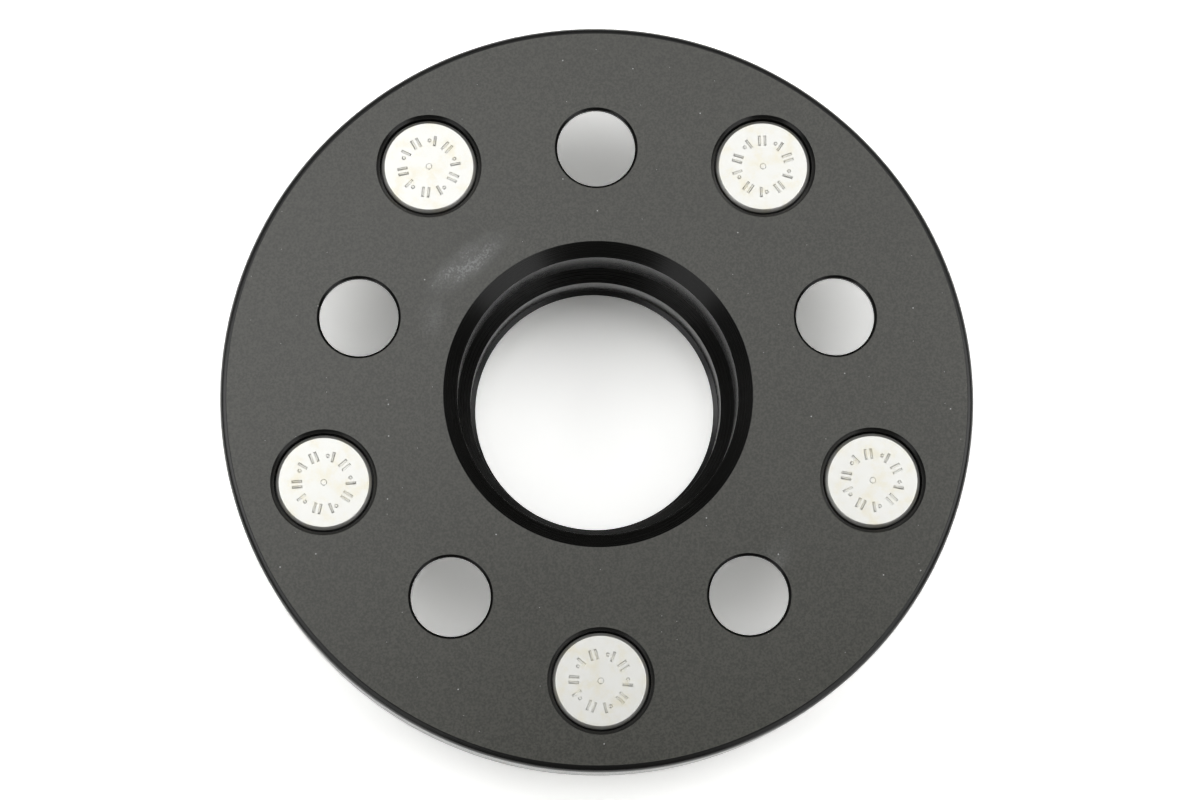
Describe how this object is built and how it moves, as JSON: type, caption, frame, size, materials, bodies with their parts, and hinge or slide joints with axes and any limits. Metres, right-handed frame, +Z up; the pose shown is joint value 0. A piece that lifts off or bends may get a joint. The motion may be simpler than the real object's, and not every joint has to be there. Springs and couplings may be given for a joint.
{
  "type": "bolt-on wheel spacer",
  "caption": "Hub-centric bolt-on wheel spacer: a black anodised disc with a centring lip, open bolt holes and pressed-in wheel studs that adapt one bolt circle to a larger one.",
  "frame": {"origin": "on the axis of the bore, level with the tips of the studs that it stands on", "axes": "+Z up along the bore's axis, out of the hub face; +Y towards the open hole that the picture shows at the top"},
  "size_m": [0.15, 0.15, 0.043],
  "materials": {
    "black_anodised": "bead-blasted black anodise, satin on the faces and glossier on the turned edges and bores",
    "zinc_plated_steel": "bright zinc plate with a faint yellow tint"
  },
  "bodies": {
    "root": {"spacer_body": "black_anodised", "stud_1": "zinc_plated_steel", "stud_2": "zinc_plated_steel", "stud_3": "zinc_plated_steel", "stud_4": "zinc_plated_steel", "stud_5": "zinc_plated_steel"}
  },
  "joints": []
}
